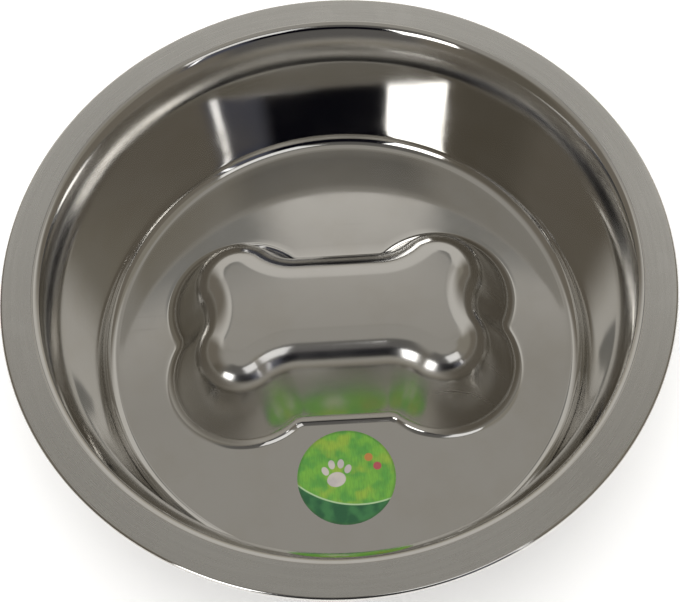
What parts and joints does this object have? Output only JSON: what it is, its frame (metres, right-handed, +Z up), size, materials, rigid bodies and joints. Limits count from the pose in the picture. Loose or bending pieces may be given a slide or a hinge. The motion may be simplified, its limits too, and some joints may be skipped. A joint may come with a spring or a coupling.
{
  "type": "dog bowl",
  "caption": "Round stainless dog bowl with a flat rolled rim and a hollow bone-shaped boss raised from its floor; a round printed label is stuck on the floor beside the boss.",
  "frame": {"origin": "centre of the bowl on the table that it stands on", "axes": "+Z up out of the mouth, +X along the bone, -Y towards the label"},
  "size_m": [0.29, 0.29, 0.0755],
  "materials": {
    "steel": "stainless steel, satin flange and polished inside",
    "label": "printed label with a thin gloss film"
  },
  "bodies": {
    "root": {"bowl_shell": "steel", "label": "label"}
  },
  "joints": []
}
